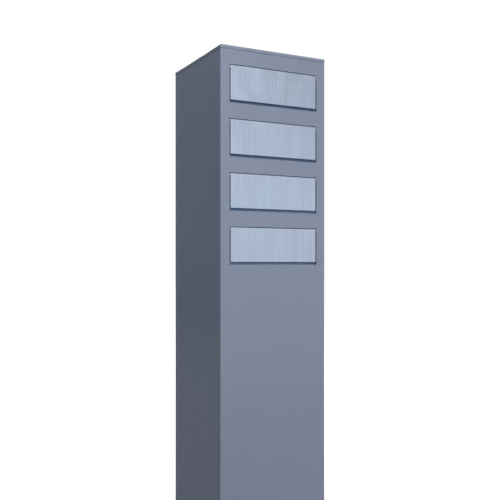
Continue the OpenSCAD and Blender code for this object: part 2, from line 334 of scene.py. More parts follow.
def shaded(colour: Colour, factor: float) -> Colour:
    """Return a colour made darker or brighter by a factor, up to white."""
    return tuple(min(1.0, factor * c) for c in colour[:3]) + (1.0,)


@dataclass(frozen=True)
class PowderCoat:
    """Metallic powder coat on folded steel sheet."""

    name: str
    colour: Colour
    flake: Colour
    dust: Colour = (0.30, 0.28, 0.25, 1.0)
    bare: Colour = (0.42, 0.43, 0.45, 1.0)
    roughness: float = 0.42
    roughness_spread: float = 0.05
    film: float = 0.10
    flake_share: float = 0.35
    flake_weight: float = 0.45
    dark_tone: float = 0.955
    wear: float = 0.55
    metallic: float = 0.25
    bare_metallic: float = 0.8
    coat: float = 0.18
    coat_roughness: float = 0.28
    peel: float = 0.16
    peel_height: float = 0.25 * MM

    def build(self, effects: Effects) -> Material:
        """Build the material."""
        material, w, shader = blank_material(self.name)
        tone = w.ramp(w.noise(w.coords(), 3.0, 3.0), 0.3, 0.7)
        paint = w.mix(tone, shaded(self.colour, self.dark_tone), self.colour)
        flakes = w.group(effects.metal_flake, Share=self.flake_share).outputs[0]
        flakes = w.math("MULTIPLY", flakes, self.flake_weight)
        paint = w.mix(flakes, paint, self.flake)
        film = w.group(effects.outdoor_film, Amount=self.film).outputs[0]
        wear = w.group(effects.edge_wear, Strength=self.wear).outputs[0]
        paint = w.mix(film, paint, self.dust)
        w.feed(shader.inputs["Base Color"], w.mix(wear, paint, self.bare))
        rough = w.ramp(w.noise(w.coords(), 22.0, 4.0), 0.3, 0.7,
                       self.roughness - self.roughness_spread,
                       self.roughness + self.roughness_spread)
        rough = w.math("ADD", rough, w.math("MULTIPLY", film, 0.5))
        w.feed(shader.inputs["Roughness"], rough)
        w.feed(shader.inputs["Metallic"],
               w.ramp(wear, 0.0, 1.0, self.metallic, self.bare_metallic))
        shader.inputs["Coat Weight"].default_value = self.coat
        shader.inputs["Coat Roughness"].default_value = self.coat_roughness
        height = w.group(effects.orange_peel).outputs[0]
        bump = w.add("Bump", None, Strength=self.peel, Distance=self.peel_height,
                     Height=height)
        w.feed(shader.inputs["Normal"], bump.outputs[0])
        return material


@dataclass(frozen=True)
class BrushedSteel:
    """Stainless or plated sheet with a directional grain."""

    name: str
    colour: Colour
    grain: Grain = Grain.UPRIGHT
    scale: float = 1800.0
    roughness: float = 0.34
    roughness_spread: float = 0.07
    cast: Colour = (0.61, 0.625, 0.755, 1.0)
    dust: Colour = (0.36, 0.34, 0.31, 1.0)
    contrast: float = 0.22
    fine_share: float = 0.35
    dull_tone: float = 0.86
    dull_weight: float = 0.3
    edge_tone: float = 1.35
    wear: float = 0.8
    metallic: float = 0.9
    film: float = 0.05
    groove: float = 0.12
    groove_height: float = 0.08 * MM

    def build(self, effects: Effects) -> Material:
        """Build the material."""
        material, w, shader = blank_material(self.name)
        lines = w.group(effects.brushed_grain, Vector=w.stretched(self.grain.value),
                        Scale=self.scale)
        fine = w.ramp(lines.outputs["Lines"], 0.3, 0.7)
        broad = w.ramp(lines.outputs["Bands"], 0.3, 0.7)
        low = shaded(self.colour, 1.0 - self.contrast)
        patch = w.ramp(w.noise(w.coords(), 7.0, 1.0), 0.38, 0.62)
        grain = w.math("ADD", w.math("MULTIPLY", fine, self.fine_share),
                       w.math("MULTIPLY", broad, 1.0 - self.fine_share))
        steel = w.mix(grain, low, w.mix(patch, self.colour, self.cast))
        smudge = w.group(effects.smudges).outputs[0]
        steel = w.mix(w.math("MULTIPLY", smudge, self.dull_weight), steel,
                      shaded(self.colour, self.dull_tone))
        film = w.group(effects.outdoor_film, Amount=self.film).outputs[0]
        steel = w.mix(film, steel, self.dust)
        wear = w.group(effects.edge_wear, Strength=self.wear).outputs[0]
        w.feed(shader.inputs["Base Color"],
               w.mix(wear, steel, shaded(self.colour, self.edge_tone)))
        rough = w.ramp(lines.outputs["Lines"], 0.25, 0.75,
                       self.roughness - self.roughness_spread,
                       self.roughness + self.roughness_spread)
        rough = w.math("ADD", rough, w.math("MULTIPLY", smudge, 0.08))
        w.feed(shader.inputs["Roughness"], rough)
        shader.inputs["Metallic"].default_value = self.metallic
        bump = w.add("Bump", None, Strength=self.groove, Distance=self.groove_height,
                     Height=lines.outputs["Lines"])
        w.feed(shader.inputs["Normal"], bump.outputs[0])
        return material


@dataclass(frozen=True)
class PlatedMetal:
    """Turned or stamped metal under a thin plate."""

    name: str
    colour: Colour
    stain: Colour
    roughness: float = 0.25
    stain_amount: float = 0.35
    stain_scale: float = 55.0
    wear: float = 0.6
    edge_tone: float = 1.3
    metallic: float = 0.95
    scratch: float = 0.08
    scratch_height: float = 0.06 * MM

    def build(self, effects: Effects) -> Material:
        """Build the material."""
        material, w, shader = blank_material(self.name)
        smudge = w.group(effects.smudges, Scale=self.stain_scale).outputs[0]
        plate = w.mix(w.math("MULTIPLY", smudge, self.stain_amount), self.colour,
                      self.stain)
        wear = w.group(effects.edge_wear, Strength=self.wear,
                       Break_Up=240.0).outputs[0]
        w.feed(shader.inputs["Base Color"],
               w.mix(wear, plate, shaded(self.colour, self.edge_tone)))
        scratch = w.noise(w.stretched((1.0, 1.0, 0.2)), 900.0, 3.0, 0.7)
        rough = w.ramp(scratch, 0.3, 0.7, self.roughness - 0.06, self.roughness + 0.1)
        w.feed(shader.inputs["Roughness"],
               w.math("ADD", rough, w.math("MULTIPLY", smudge, 0.12)))
        shader.inputs["Metallic"].default_value = self.metallic
        bump = w.add("Bump", None, Strength=self.scratch,
                     Distance=self.scratch_height, Height=scratch)
        w.feed(shader.inputs["Normal"], bump.outputs[0])
        return material


@dataclass(frozen=True)
class GalvanisedSheet:
    """Hot-dipped sheet with soft spangle crystals."""

    name: str
    colour: Colour
    stain: Colour = (0.33, 0.33, 0.32, 1.0)
    stain_amount: float = 0.3
    stain_scale: float = 9.0
    spangle_scale: float = 95.0
    dark_tone: float = 0.78
    metallic: float = 0.75

    def build(self, effects: Effects) -> Material:
        """Build the material."""
        material, w, shader = blank_material(self.name)
        crystal = w.add("TexVoronoi", {"feature": "F1"}, Vector=w.coords(),
                        Scale=self.spangle_scale)
        tint = w.add("SeparateColor", None, Color=crystal.outputs["Color"]).outputs[1]
        zinc = w.mix(tint, shaded(self.colour, self.dark_tone), self.colour)
        smudge = w.group(effects.smudges, Scale=self.stain_scale).outputs[0]
        zinc = w.mix(w.math("MULTIPLY", smudge, self.stain_amount), zinc, self.stain)
        w.feed(shader.inputs["Base Color"], zinc)
        w.feed(shader.inputs["Roughness"], w.ramp(tint, 0.0, 1.0, 0.38, 0.52))
        shader.inputs["Metallic"].default_value = self.metallic
        bump = w.add("Bump", None, Strength=0.1, Distance=0.1 * MM,
                     Height=w.noise(w.coords(), 420.0, 2.0))
        w.feed(shader.inputs["Normal"], bump.outputs[0])
        return material


@dataclass(frozen=True)
class MouldedPart:
    """Moulded rubber or nylon with a fine matt skin."""

    name: str
    colour: Colour
    roughness: float
    grit: float = 0.25

    def build(self, effects: Effects) -> Material:
        """Build the material."""
        material, w, shader = blank_material(self.name)
        smudge = w.group(effects.smudges, Scale=40.0).outputs[0]
        pale = tuple(min(1.0, 1.25 * c + 0.01) for c in self.colour[:3]) + (1.0,)
        w.feed(shader.inputs["Base Color"], w.mix(smudge, self.colour, pale))
        w.feed(shader.inputs["Roughness"],
               w.ramp(smudge, 0.0, 1.0, self.roughness - 0.05, self.roughness + 0.08))
        height = w.group(effects.orange_peel, Ripple_Scale=700.0).outputs[0]
        bump = w.add("Bump", None, Strength=self.grit, Distance=0.1 * MM, Height=height)
        w.feed(shader.inputs["Normal"], bump.outputs[0])
        return material


@dataclass
class Finishes:
    """Every finish of the column by its material slot."""

    effects: Effects = field(default_factory=Effects)
    built: dict[Slot, Material] = field(default_factory=dict)

    def __post_init__(self) -> None:
        """Build each finish once."""
        recipes = {
            Slot.PAINT: PowderCoat("blue_grey_powder_coat", (0.250, 0.278, 0.362, 1.0),
                                   (0.44, 0.50, 0.62, 1.0)),
            # Recess coat: the walls' blue-grey paint made bluer, a painted blue
            # reflection in the shaded gap below each flap.
            Slot.RECESS_PAINT: PowderCoat("recess_coat_painted_blue_reflection",
                                          (0.25, 0.35, 0.53, 1.0),
                                          (0.33, 0.43, 0.60, 1.0), roughness=0.5,
                                          film=0.15, flake_share=0.15),
            Slot.STAINLESS: BrushedSteel("brushed_stainless",
                                         (0.58, 0.66, 0.77, 1.0)),
            Slot.GALVANISED: GalvanisedSheet("galvanised_sheet",
                                             (0.52, 0.53, 0.54, 1.0)),
            Slot.ZINC: PlatedMetal("zinc_plate", (0.60, 0.61, 0.62, 1.0),
                                   (0.42, 0.42, 0.40, 1.0), 0.34),
            Slot.FASTENER: PlatedMetal("stainless_fastener", (0.62, 0.62, 0.63, 1.0),
                                       (0.45, 0.45, 0.45, 1.0), 0.28),
            Slot.NICKEL: PlatedMetal("nickel_plate", (0.70, 0.68, 0.64, 1.0),
                                     (0.50, 0.47, 0.42, 1.0), 0.16),
            Slot.NYLON: MouldedPart("white_nylon", (0.70, 0.70, 0.67, 1.0), 0.5, 0.12),
            Slot.RUBBER: MouldedPart("black_rubber", (0.022, 0.022, 0.024, 1.0), 0.72),
        }
        for slot, recipe in recipes.items():
            self.built[slot] = recipe.build(self.effects)

    def dress(self, piece: Piece, slot: Slot) -> None:
        """Give a piece the one finish built for its record slot."""
        piece.data.materials.clear()
        piece.data.materials.append(self.built[slot])


# ------------------------------------------------------------ modelling tools


def deselect_all() -> None:
    """Leave nothing selected."""
    for item in bpy.context.view_layer.objects:
        item.select_set(False)


def take(piece: Piece) -> None:
    """Select one object alone and make it active."""
    deselect_all()
    piece.select_set(True)
    bpy.context.view_layer.objects.active = piece


def start_block(name: str, low: Vector, high: Vector) -> Piece:
    """Add a cube primitive that fills a box, with its place in its mesh."""
    deselect_all()
    bpy.ops.mesh.primitive_cube_add(size=1.0, location=(low + high) / 2,
                                    scale=high - low)
    return settle(name)


def start_cylinder(name: str, centre: Vector, radius: float, depth: float,
                   turn: Triple = (math.pi / 2, 0.0, 0.0),
                   vertices: int = 48) -> Piece:
    """Add a cylinder primitive, along Y unless turned otherwise."""
    deselect_all()
    bpy.ops.mesh.primitive_cylinder_add(vertices=vertices, radius=radius, depth=depth,
                                        location=centre, rotation=turn)
    return settle(name)


def settle(name: str) -> Piece:
    """Name the active object and move its place and turn into its mesh."""
    piece = bpy.context.object
    piece.name = name
    piece.data.name = name
    bpy.ops.object.transform_apply(location=True, rotation=True, scale=True)
    return piece


def pick(piece: Piece, kind: str, test: Callable[[object], bool]) -> None:
    """Select the faces, edges or verts that pass a test, in edit mode.

    Args:
        piece: The object being edited.
        kind: "faces", "edges" or "verts".
        test: Says whether an element is wanted.
    """
    mode = {"faces": "FACE", "edges": "EDGE", "verts": "VERT"}[kind]
    bpy.ops.mesh.select_mode(type=mode)
    bpy.ops.mesh.select_all(action="DESELECT")
    mesh = bmesh.from_edit_mesh(piece.data)
    for element in getattr(mesh, kind):
        if test(element):
            element.select_set(True)
    mesh.select_flush_mode()
    bmesh.update_edit_mesh(piece.data)


class Editing:
    """Context in which one object is in edit mode."""

    def __init__(self, piece: Piece) -> None:
        """Remember the piece to edit."""
        self.piece = piece

    def __enter__(self) -> Piece:
        """Enter edit mode on the piece alone."""
        take(self.piece)
        bpy.ops.object.mode_set(mode="EDIT")
        return self.piece

    def __exit__(self, *_: object) -> None:
        """Return to object mode."""
        bpy.ops.object.mode_set(mode="OBJECT")


def middle(edge: bmesh.types.BMEdge) -> Vector:
    """Return the middle of an edge."""
    return (edge.verts[0].co + edge.verts[1].co) / 2


def runs_along(edge: bmesh.types.BMEdge, axis: int) -> bool:
    """Say whether an edge runs along X, Y or Z, given as 0, 1 or 2."""
    run = edge.verts[1].co - edge.verts[0].co
    return abs(run[axis]) > 0.99 * run.length


def modify(piece: Piece, kind: str, **settings: object) -> None:
    """Add a modifier with its settings and apply it."""
    take(piece)
    modifier = piece.modifiers.new(kind.lower(), kind)
    for key, value in settings.items():
        setattr(modifier, key, value)
    bpy.ops.object.modifier_apply(modifier=modifier.name)


def thicken(piece: Piece, thickness: float) -> None:
    """Give a folded skin its sheet thickness, inwards from its faces."""
    modify(piece, "SOLIDIFY", thickness=thickness, offset=-1.0, use_even_offset=True,
           use_rim=True)


def soften_edges(piece: Piece, width: float, segments: int = 2,
                 angle: float = 40.0) -> None:
    """Round the sharp edges of a piece slightly and shade it by angle."""
    modify(piece, "BEVEL", width=width, segments=segments, limit_method="ANGLE",
           angle_limit=math.radians(angle), harden_normals=False,
           use_clamp_overlap=True)
    smooth(piece)


def smooth(piece: Piece, angle: float = 35.0) -> None:
    """Shade a piece smooth up to an angle, with its wide faces kept flat."""
    take(piece)
    bpy.ops.object.shade_smooth_by_angle(angle=math.radians(angle))
    modify(piece, "WEIGHTED_NORMAL", weight=100, keep_sharp=True)


def cut(piece: Piece, cutter: Piece) -> None:
    """Cut one closed mesh out of another and delete the cutter."""
    modify(piece, "BOOLEAN", object=cutter, operation="DIFFERENCE", solver="EXACT")
    bpy.data.objects.remove(cutter)


def join(name: str, pieces: list[Piece]) -> Piece:
    """Join separate closed shells into one piece."""
    deselect_all()
    for piece in pieces:
        piece.select_set(True)
    bpy.context.view_layer.objects.active = pieces[0]
    bpy.ops.object.join()
    pieces[0].name = name
    pieces[0].data.name = name
    return pieces[0]


def copied(piece: Piece, name: str, shift: Vector) -> Piece:
    """Copy a piece with its own mesh, moved within its mesh."""
    twin = piece.copy()
    twin.data = piece.data.copy()
    twin.name = name
    twin.data.name = name
    bpy.context.scene.collection.objects.link(twin)
    twin.data.transform(Matrix.Translation(shift))
    return twin


def rounded_block(name: str, low: Vector, high: Vector, axis: int, radius: float,
                  segments: int = 6) -> Piece:
    """Make a block whose edges along one axis are rounded."""
    piece = start_block(name, low, high)
    with Editing(piece):
        pick(piece, "edges", lambda e: runs_along(e, axis))
        bpy.ops.mesh.bevel(offset=radius, segments=segments, affect="EDGES")
    return piece


def softened_node(node: str, width: float, segments: int = 2) -> Piece:
    """Copy a CAD node as a merged mesh with softened edges, to stand for it.

    Args:
        node: Name of the CAD node.
        width: Width of the rounding on its sharp edges.
        segments: Steps in the rounding.

    Returns:
        The finished piece, riding on the node's body.
    """
    source = frame["nodes"][node]
    piece = source.copy()
    piece.data = source.data.copy()
    piece.name = piece.data.name = "finished_" + node
    for key in list(piece.keys()):
        del piece[key]
    bpy.context.scene.collection.objects.link(piece)
    piece.parent = None
    piece.matrix_world = Matrix.Identity(4)
    with Editing(piece):
        bpy.ops.mesh.select_all(action="SELECT")
        bpy.ops.mesh.remove_doubles(threshold=2e-6)
        bpy.ops.mesh.dissolve_limited(angle_limit=math.radians(0.4))
    soften_edges(piece, width, segments)
    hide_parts(node)
    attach(piece, body_of_node(node))
    return piece


def body_of_node(node: str) -> str:
    """Return the body that holds a CAD node."""
    bodies = frame["record"]["behaviour"]["bodies"]
    return next(body for body, nodes in bodies.items() if node in nodes)


def finish_piece(piece: Piece, body: str, slot: Slot, finishes: Finishes,
                 *nodes: str) -> None:
    """Dress a new piece, hang it on its body and let it stand for CAD nodes."""
    finishes.dress(piece, slot)
    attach(piece, body)
    if nodes:
        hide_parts(*nodes)
    log.info("%s on %s, %d faces", piece.name, body, len(piece.data.polygons))


# ------------------------------------------------------------- sub-assemblies


@dataclass
class SheetPan:
    """A sheet folded into a pan: one face with four returns round it."""

    name: str
    low: Vector
    high: Vector
    open_side: Vector
    thickness: float = SHEET
    bend: float = SHEET_BEND
    lip: float = 0.25 * MM

    def build(self) -> Piece:
        """Fold the pan from a block without its open side and give it thickness."""
        piece = start_block(self.name, self.low, self.high)
        with Editing(piece):
            pick(piece, "faces", lambda f: f.normal.dot(self.open_side) > 0.9)
            bpy.ops.mesh.delete(type="FACE")
            pick(piece, "edges", self.is_bend)
            bpy.ops.mesh.bevel(offset=self.bend, segments=4, affect="EDGES")
        thicken(piece, self.thickness)
        soften_edges(piece, self.lip)
        return piece

    def is_bend(self, edge: bmesh.types.BMEdge) -> bool:
        """Say whether an edge lies between two remaining faces."""
        return len(edge.link_faces) == 2


@dataclass
class ColumnShell:
    """Front panel and both side panels, folded from one sheet with four windows."""

    thickness: float = SHEET
    bend: float = SHEET_BEND
    window_radius: float = 2.5 * MM
    side_gap: float = 3.0 * MM
    top_gap: float = 2.0 * MM
    finger_gap: float = 9.5 * MM
    window_reach: float = 5.0 * MM
    lip: float = SHEET_LIP
    rear_edge: float = 18.0 * MM

    def outline(self) -> list[Vector]:
        """Return the outer outline seen from above, from one rear edge round."""
        low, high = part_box("front_panel")
        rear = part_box("left_side_panel")[1].y
        return [Vector((x, y, low.z)) for x, y in (
            (low.x + self.rear_edge, rear), (low.x, rear), (low.x, low.y),
            (high.x, low.y), (high.x, rear), (high.x - self.rear_edge, rear))]

    def fold(self) -> Piece:
        """Extrude the outline's steps from one edge of a plane, then up."""
        deselect_all()
        bpy.ops.mesh.primitive_plane_add(size=1.0)
        piece = settle("column_shell")
        low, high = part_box("front_panel")
        points = self.outline()
        with Editing(piece):
            pick(piece, "verts", lambda v: v.index > 0)
            bpy.ops.mesh.delete(type="VERT")
            pick(piece, "verts", lambda v: True)
            start = bmesh.from_edit_mesh(piece.data).verts[:][0].co.copy()
            bpy.ops.transform.translate(value=points[0] - start)
            for here, there in zip(points, points[1:]):
                bpy.ops.mesh.extrude_vertices_move(
                    TRANSFORM_OT_translate={"value": there - here})
            pick(piece, "edges", lambda e: True)
            bpy.ops.mesh.extrude_edges_move(
                TRANSFORM_OT_translate={"value": (0.0, 0.0, high.z - low.z)})
            bpy.ops.mesh.select_all(action="SELECT")
            bpy.ops.mesh.normals_make_consistent(inside=False)
            pick(piece, "edges", lambda e: len(e.link_faces) == 2)
            bpy.ops.mesh.bevel(offset=self.bend, segments=5, affect="EDGES")
        self.face_outwards(piece)
        return piece

    def face_outwards(self, piece: Piece) -> None:
        """Turn the folded skin over if its front face looks inwards."""
        front = min(piece.data.polygons, key=lambda p: p.center.y)
        if front.normal.y > 0:
            with Editing(piece):
                bpy.ops.mesh.select_all(action="SELECT")
                bpy.ops.mesh.flip_normals()

    def cut_windows(self, piece: Piece) -> None:
        """Cut the rounded windows at the places of the recessed trays."""
        for n in BOXES:
            flap_low, flap_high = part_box(f"flap_{n}")
            low = Vector((flap_low.x - self.side_gap,
                          flap_low.y - self.window_reach,
                          flap_low.z - self.finger_gap))
            high = Vector((flap_high.x + self.side_gap,
                           flap_low.y + self.window_reach,
                           flap_high.z + self.top_gap))
            cut(piece, rounded_block("window", low, high, 1, self.window_radius))

    def build(self, finishes: Finishes) -> None:
        """Build the shell and let it stand for its three panels."""
        piece = self.fold()
        thicken(piece, self.thickness)
        self.cut_windows(piece)
        soften_edges(piece, self.lip)
        finish_piece(piece, COLUMN, Slot.PAINT, finishes, "front_panel",
                     "left_side_panel", "right_side_panel")


@dataclass
class FrontReturns:
    """The side panels' folded front edges, behind the front panel."""

    width: float = 20.0 * MM
    thickness: float = SHEET

    def build(self, finishes: Finishes) -> None:
        """Add one strip behind each side of the front panel."""
        low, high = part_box("front_panel")
        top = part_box("ceiling_pan")[0].z
        for side in (-1, 1):
            edge = side * (high.x - self.thickness)
            inner = side * (high.x - self.width)
            name = "left_front_return" if side < 0 else "right_front_return"
            piece = start_block(
                name, Vector((min(edge, inner), high.y, low.z)),
                Vector((max(edge, inner), high.y + self.thickness, top)))
            soften_edges(piece, SHEET_LIP)
            finish_piece(piece, COLUMN, Slot.PAINT, finishes)


@dataclass
class Lid:
    """Flat lid with a folded skirt and the studs that hold it down."""

    skirt: float = 11.0 * MM
    stud_radius: float = 3.0 * MM
    stud_inset: float = 50.6 * MM
    stud_root: float = 1.4 * MM

    def build(self, finishes: Finishes) -> None:
        """Build the lid pan and its four studs."""
        low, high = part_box("top_lid")
        pan = SheetPan("lid", Vector((low.x, low.y, high.z - self.skirt)), high,
                       Vector((0, 0, -1))).build()
        studs = []
        for x in (low.x + self.stud_inset, high.x - self.stud_inset):
            for y in (low.y + self.stud_inset, high.y - self.stud_inset):
                top = high.z - self.stud_root
                stud = start_cylinder("stud", Vector((x, y, (low.z + top) / 2)),
                                      self.stud_radius, top - low.z, (0, 0, 0), 20)
                soften_edges(stud, 0.5 * MM, 1)
                studs.append(stud)
        piece = join("lid", [pan, *studs])
        finish_piece(piece, COLUMN, Slot.PAINT, finishes, "top_lid")


@dataclass
class LetterFlap:
    """Brushed stainless flap: a pan with an ear at each end for its rod."""

    thickness: float = 1.0 * MM
    bend: float = 1.1 * MM
    lip: float = 0.18 * MM
    depth: float = 8.0 * MM
    ear: float = 5.0 * MM
    axis_depth: float = 6.0 * MM
    ear_clearance: float = 0.02 * MM

    def build_first(self) -> Piece:
        """Model the flap of the top box."""
        low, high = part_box("flap_1")
        back = Vector((high.x, low.y + self.depth, high.z))
        pan = SheetPan("flap", low, back, Vector((0, 1, 0)), self.thickness, self.bend,
                       self.lip).build()
        parts = [pan]
        for side in (low.x, high.x - self.thickness):
            ear = start_cylinder(
                "ear", Vector((side + self.thickness / 2, low.y + self.axis_depth,
                               high.z - self.ear)),
                self.ear - self.ear_clearance, self.thickness - self.ear_clearance,
                (0, math.pi / 2, 0), 40)
            soften_edges(ear, 0.15 * MM, 1)
            parts.append(ear)
        return join("flap", parts)

    def build(self, finishes: Finishes) -> None:
        """Model one flap and copy it to each window."""
        first = self.build_first()
        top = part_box("flap_1")[0]
        for n in BOXES:
            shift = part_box(f"flap_{n}")[0] - top
            piece = copied(first, f"letter_flap_{n}", shift)
            finish_piece(piece, f"flap_{n}", Slot.STAINLESS, finishes, f"flap_{n}")
        bpy.data.objects.remove(first)


@dataclass
class CollectionDoor:
    """Rear door: a pan with square folded edges and one rolled hinge edge."""

    thickness: float = SHEET
    bend: float = SHEET_BEND
    roll: float = 7.0 * MM
    lip: float = SHEET_LIP

    def build_first(self) -> Piece:
        """Model the top door."""
        low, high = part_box("door_1")
        piece = start_block("door", low, high)
        with Editing(piece):
            pick(piece, "faces", lambda f: f.normal.y < -0.9)
            bpy.ops.mesh.delete(type="FACE")
            pick(piece, "edges", lambda e: self.is_hinge_edge(e, high))
            bpy.ops.mesh.bevel(offset=self.roll, segments=10, affect="EDGES")
            pick(piece, "edges", lambda e: self.is_free_edge(e, low, high))
            bpy.ops.mesh.bevel(offset=self.bend, segments=4, affect="EDGES")
        thicken(piece, self.thickness)
        soften_edges(piece, self.lip, angle=55.0)
        return piece

    def is_hinge_edge(self, edge: bmesh.types.BMEdge, high: Vector) -> bool:
        """Say whether an edge is the upright one over the hinge."""
        there = middle(edge)
        return (runs_along(edge, 2) and abs(there.x - high.x) < MM
                and abs(there.y - high.y) < MM)

    def is_free_edge(self, edge: bmesh.types.BMEdge, low: Vector,
                     high: Vector) -> bool:
        """Say whether an edge is the upright one at the lock side."""
        there = middle(edge)
        return (runs_along(edge, 2) and abs(there.x - low.x) < MM
                and abs(there.y - high.y) < MM)

    def build(self, finishes: Finishes) -> None:
        """Model one door and copy it to each box."""
        first = self.build_first()
        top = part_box("door_1")[0]
        for n in BOXES:
            piece = copied(first, f"collection_door_{n}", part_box(f"door_{n}")[0] - top)
            finish_piece(piece, f"door_{n}", Slot.PAINT, finishes, f"door_{n}")
        bpy.data.objects.remove(first)


@dataclass
class CamLock:
    """Lock housing and key plug of one door."""

    head_radius: float = 11.0 * MM
    head_depth: float = 2.0 * MM
    head_rim: float = 1.2 * MM
    dish_width: float = 3.0 * MM
    dish: float = 0.5 * MM
    well: float = 0.7 * MM
    overlap: float = 0.2 * MM
    barrel_radius: float = 9.4 * MM
    plug_radius: float = 6.0 * MM
    plug_gap: float = 0.1 * MM
    shoulder: float = 2.0 * MM
    key_width: float = 1.4 * MM
    key_height: float = 8.0 * MM
    key_depth: float = 4.0 * MM
    tail_radius: float = 3.5 * MM
    tail_length: float = 3.0 * MM

    def build_housing(self) -> Piece:
        """Model the top door's housing: a dished head on a barrel."""
        low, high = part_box("lock_body_1")
        centre = (low + high) / 2
        head = start_cylinder(
            "head", Vector((centre.x, high.y - self.head_depth / 2, centre.z)),
            self.head_radius, self.head_depth, vertices=64)
        with Editing(head):
            pick(head, "faces", lambda f: f.normal.y > 0.9)
            bpy.ops.mesh.inset(thickness=self.head_rim)
            bpy.ops.mesh.inset(thickness=self.dish_width)
            bpy.ops.transform.translate(value=(0.0, -self.dish, 0.0))
            bpy.ops.mesh.inset(thickness=self.head_radius - self.head_rim
                               - self.dish_width - self.plug_radius - self.plug_gap)
            bpy.ops.mesh.extrude_region_move(
                TRANSFORM_OT_translate={"value": (0.0, -self.well, 0.0)})
        soften_edges(head, 0.25 * MM, 2, 25.0)
        front = high.y - self.head_depth + self.overlap
        barrel = start_cylinder(
            "barrel", Vector((centre.x, (low.y + front) / 2, centre.z)),
            self.barrel_radius, front - low.y, vertices=64)
        soften_edges(barrel, 0.6 * MM)
        return join("housing", [head, barrel])

    def build_plug(self) -> Piece:
        """Model the top lock's plug with its keyway and tail."""
        low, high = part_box("lock_plug_1")
        centre = (low + high) / 2
        shoulder = low.y + self.shoulder
        plug = start_cylinder(
            "plug", Vector((centre.x, (shoulder + high.y) / 2, centre.z)),
            self.plug_radius, high.y - shoulder, vertices=48)
        soften_edges(plug, 0.4 * MM)
        keyway = rounded_block(
            "keyway", Vector((centre.x - self.key_width / 2, high.y - self.key_depth,
                              centre.z - self.key_height / 2)),
            Vector((centre.x + self.key_width / 2, high.y + MM,
                    centre.z + self.key_height / 2)), 1, 0.3 * MM, 2)
        cut(plug, keyway)
        tail = start_cylinder(
            "tail", Vector((centre.x, low.y + self.tail_length / 2, centre.z)),
            self.tail_radius, self.tail_length, vertices=32)
        smooth(plug)
        smooth(tail)
        return join("plug", [plug, tail])

    def build(self, finishes: Finishes) -> None:
        """Model one lock and copy it to each door."""
        housing, plug = self.build_housing(), self.build_plug()
        for n in BOXES:
            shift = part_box(f"lock_body_{n}")[0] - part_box("lock_body_1")[0]
            body = copied(housing, f"lock_housing_{n}", shift)
            finish_piece(body, f"door_{n}", Slot.NICKEL, finishes, f"lock_body_{n}")
            core = copied(plug, f"key_plug_{n}", shift)
            finish_piece(core, f"lock_{n}", Slot.NICKEL, finishes, f"lock_plug_{n}")
        bpy.data.objects.remove(housing)
        bpy.data.objects.remove(plug)


@dataclass
class PedestalCover:
    """Cover below the doors with its button-head screws."""

    head_radius: float = 4.75 * MM
    head_depth: float = 2.0 * MM
    head_round: float = 1.2 * MM
    land: float = 1.6 * MM
    socket_radius: float = 1.75 * MM
    socket_depth: float = 1.1 * MM
    shank_radius: float = 2.5 * MM
    shank_length: float = 12.2 * MM
    shank_overlap: float = 0.1 * MM

    def screw(self, name: str, centre: Vector) -> Piece:
        """Model one button-head screw with a hexagon socket.

        Args:
            name: Name of the piece.
            centre: Middle of the head's underside, on the cover's face.

        Returns:
            The joined screw.
        """
        head = start_cylinder(
            "head", centre + Vector((0, self.head_depth / 2, 0)), self.head_radius,
            self.head_depth, vertices=36)
        with Editing(head):
            pick(head, "faces", lambda f: f.normal.y > 0.9)
            bpy.ops.mesh.inset(thickness=self.land)
            pick(head, "edges", lambda e: self.on_rim(e, centre))
            bpy.ops.mesh.bevel(offset=self.head_round, segments=4, affect="EDGES")
        socket = start_cylinder(
            "socket", centre + Vector((0, self.head_depth, 0)), self.socket_radius,
            2 * self.socket_depth, vertices=6)
        cut(head, socket)
        smooth(head)
        middle_depth = self.shank_length / 2 - self.shank_overlap
        shank = start_cylinder("shank", centre - Vector((0, middle_depth, 0)),
                               self.shank_radius, self.shank_length, vertices=24)
        soften_edges(shank, 0.4 * MM, 1)
        return join(name, [head, shank])

    def on_rim(self, edge: bmesh.types.BMEdge, centre: Vector) -> bool:
        """Say whether an edge is on the outer rim of a screw's head."""
        ends = [v.co - centre for v in edge.verts]
        return all(abs(end.y - self.head_depth) < 0.1 * MM
                   and math.hypot(end.x, end.z) > self.head_radius - 0.2 * MM
                   for end in ends)

    def build(self, finishes: Finishes) -> None:
        """Build the cover and one set of screws."""
        low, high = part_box("pedestal_cover")
        cover = SheetPan("cover", low, high, Vector((0, -1, 0))).build()
        finish_piece(cover, COLUMN, Slot.PAINT, finishes, "pedestal_cover")
        low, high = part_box("cover_screws")
        first = Vector((low.x + self.head_radius, high.y - self.head_depth,
                        low.z + self.head_radius))
        step = high - low - 2 * Vector((self.head_radius, 0, self.head_radius))
        screws = [self.screw("screw", first + Vector((x * step.x, 0, z * step.z)))
                  for x in (0, 1) for z in (0, 1)]
        piece = join("cover_screw_set", screws)
        finish_piece(piece, COLUMN, Slot.FASTENER, finishes, "cover_screws")


